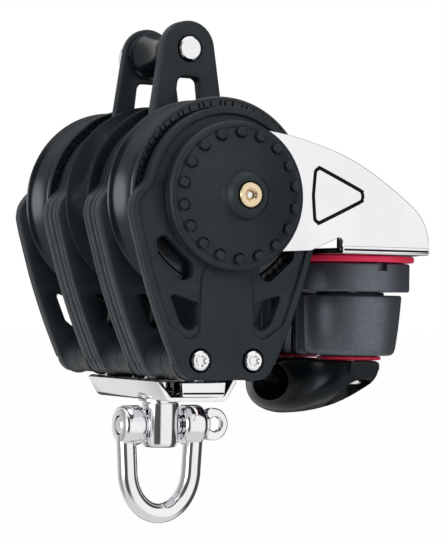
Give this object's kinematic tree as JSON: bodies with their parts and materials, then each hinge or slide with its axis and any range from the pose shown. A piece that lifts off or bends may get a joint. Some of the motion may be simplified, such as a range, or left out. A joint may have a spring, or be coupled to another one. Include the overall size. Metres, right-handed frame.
{
  "type": "rope block",
  "caption": "Triple-sheave rope block with a ratchet middle sheave, a becket, a swivelling bow shackle and a cam cleat with a rope eye on a tilting stainless arm.",
  "frame": {"origin": "middle of the shackle bow's inner crown, where the block bears on what holds it", "axes": "+Z from the shackle up to the becket; +X from the sheaves towards the cleat; +Y along the main axle from the peg cover to the axle nut"},
  "size_m": [0.1027, 0.1064, 0.148],
  "materials": {
    "nylon": "moulded black reinforced nylon, satin",
    "glossy_black": "moulded black, polished",
    "cleat_grey": "dark grey hard-anodised, satin",
    "red": "moulded red, satin",
    "stainless": "polished stainless steel",
    "brass": "pale polished brass",
    "acetal": "natural white acetal"
  },
  "bodies": {
    "block": {"front_cheek": "nylon", "front_inner_cheek": "nylon", "middle_front_cheek": "nylon", "middle_rear_cheek": "nylon", "rear_inner_cheek": "nylon", "rear_cheek": "nylon", "front_becket_plate": "nylon", "rear_becket_plate": "nylon", "front_inner_race": "acetal", "middle_inner_race": "acetal", "rear_inner_race": "acetal", "axle": "stainless", "axle_washer": "stainless", "axle_nut": "stainless", "peg_cover": "nylon", "adjuster_spring": "stainless", "becket_pin": "stainless", "becket_pin_nut": "stainless", "left_through_bolt": "stainless", "right_through_bolt": "stainless", "left_bolt_nut": "stainless", "right_bolt_nut": "stainless", "hanger": "stainless"},
    "front_sheave": {"front_sheave": "glossy_black"},
    "middle_sheave": {"middle_sheave": "nylon", "ratchet_gear": "stainless"},
    "rear_sheave": {"rear_sheave": "glossy_black"},
    "front_balls": {"front_ball_ring": "acetal"},
    "middle_balls": {"middle_ball_ring": "acetal"},
    "rear_balls": {"rear_ball_ring": "acetal"},
    "thimble": {"becket_thimble": "glossy_black"},
    "cleat_arm": {"cleat_arm": "stainless", "cleat_pad": "red", "cleat_base": "cleat_grey", "front_cam_bearing": "acetal", "rear_cam_bearing": "acetal", "front_cam_spring": "stainless", "rear_cam_spring": "stainless", "front_cam_washer": "red", "rear_cam_washer": "red", "fairlead": "glossy_black", "front_cleat_screw": "stainless", "rear_cleat_screw": "stainless", "front_cleat_nut": "stainless", "rear_cleat_nut": "stainless"},
    "front_cam": {"front_cam": "cleat_grey"},
    "rear_cam": {"rear_cam": "cleat_grey"},
    "swivel": {"swivel_post": "stainless", "swivel_washer": "stainless", "swivel_nut": "stainless"},
    "shackle_bow": {"shackle_bow": "stainless"},
    "shackle_pin": {"shackle_pin": "stainless"},
    "upper_pawl": {"upper_pawl": "stainless"},
    "lower_pawl": {"lower_pawl": "stainless"},
    "adjuster": {"adjuster_screw": "brass"}
  },
  "joints": [
    {"name": "front_sheave_spin", "type": "hinge", "parent": "block", "child": "front_sheave", "pos_m": [0, -0.0294, 0.09], "axis": [0, 1, 0], "continuous": true},
    {"name": "middle_sheave_spin", "type": "hinge", "parent": "block", "child": "middle_sheave", "pos_m": [0, 0, 0.09], "axis": [0, 1, 0], "continuous": true},
    {"name": "rear_sheave_spin", "type": "hinge", "parent": "block", "child": "rear_sheave", "pos_m": [0, 0.0294, 0.09], "axis": [0, 1, 0], "continuous": true},
    {"name": "front_balls_spin", "type": "hinge", "parent": "block", "child": "front_balls", "pos_m": [0, -0.0294, 0.09], "axis": [0, 1, 0], "continuous": true},
    {"name": "middle_balls_spin", "type": "hinge", "parent": "block", "child": "middle_balls", "pos_m": [0, 0, 0.09], "axis": [0, 1, 0], "continuous": true},
    {"name": "rear_balls_spin", "type": "hinge", "parent": "block", "child": "rear_balls", "pos_m": [0, 0.0294, 0.09], "axis": [0, 1, 0], "continuous": true},
    {"name": "thimble_spin", "type": "hinge", "parent": "block", "child": "thimble", "pos_m": [0, 0, 0.1341], "axis": [0, 1, 0], "continuous": true},
    {"name": "cleat_arm_tilt", "type": "hinge", "parent": "block", "child": "cleat_arm", "pos_m": [0, 0, 0.09], "axis": [0, -1, 0], "range_deg": [0, 60]},
    {"name": "front_cam_turn", "type": "hinge", "parent": "cleat_arm", "child": "front_cam", "pos_m": [0.0535, -0.019, 0.054], "axis": [0, 0, -1], "range_deg": [0, 45], "stiffness_Nm_per_rad": 0.05},
    {"name": "rear_cam_turn", "type": "hinge", "parent": "cleat_arm", "child": "rear_cam", "pos_m": [0.0535, 0.019, 0.054], "axis": [0, 0, 1], "range_deg": [0, 45], "stiffness_Nm_per_rad": 0.05},
    {"name": "swivel_turn", "type": "hinge", "parent": "block", "child": "swivel", "pos_m": [0, 0, 0.0235], "axis": [0, 0, 1], "continuous": true},
    {"name": "shackle_swing", "type": "hinge", "parent": "swivel", "child": "shackle_bow", "pos_m": [0, 0, 0.0235], "axis": [1, 0, 0], "range_deg": [-80, 80]},
    {"name": "shackle_pin_slide", "type": "slide", "parent": "shackle_bow", "child": "shackle_pin", "axis": [1, 0, 0], "range_m": [0, 0.012]},
    {"name": "upper_pawl_swing", "type": "hinge", "parent": "block", "child": "upper_pawl", "pos_m": [0, -0.0065, 0.10005], "axis": [0, 1, 0], "range_deg": [0, 8], "stiffness_Nm_per_rad": 0.001},
    {"name": "lower_pawl_swing", "type": "hinge", "parent": "block", "child": "lower_pawl", "pos_m": [0, -0.0065, 0.07995], "axis": [0, 1, 0], "range_deg": [0, 8], "stiffness_Nm_per_rad": 0.001},
    {"name": "adjuster_turn", "type": "hinge", "parent": "block", "child": "adjuster", "pos_m": [0, -0.05, 0.09], "axis": [0, -1, 0], "range_deg": [0, 180]}
  ],
  "couplings": [
    {"joint": "front_balls_spin", "follows": "front_sheave_spin", "ratio": 0.5864},
    {"joint": "middle_balls_spin", "follows": "middle_sheave_spin", "ratio": 0.5864},
    {"joint": "rear_balls_spin", "follows": "rear_sheave_spin", "ratio": 0.5864}
  ]
}
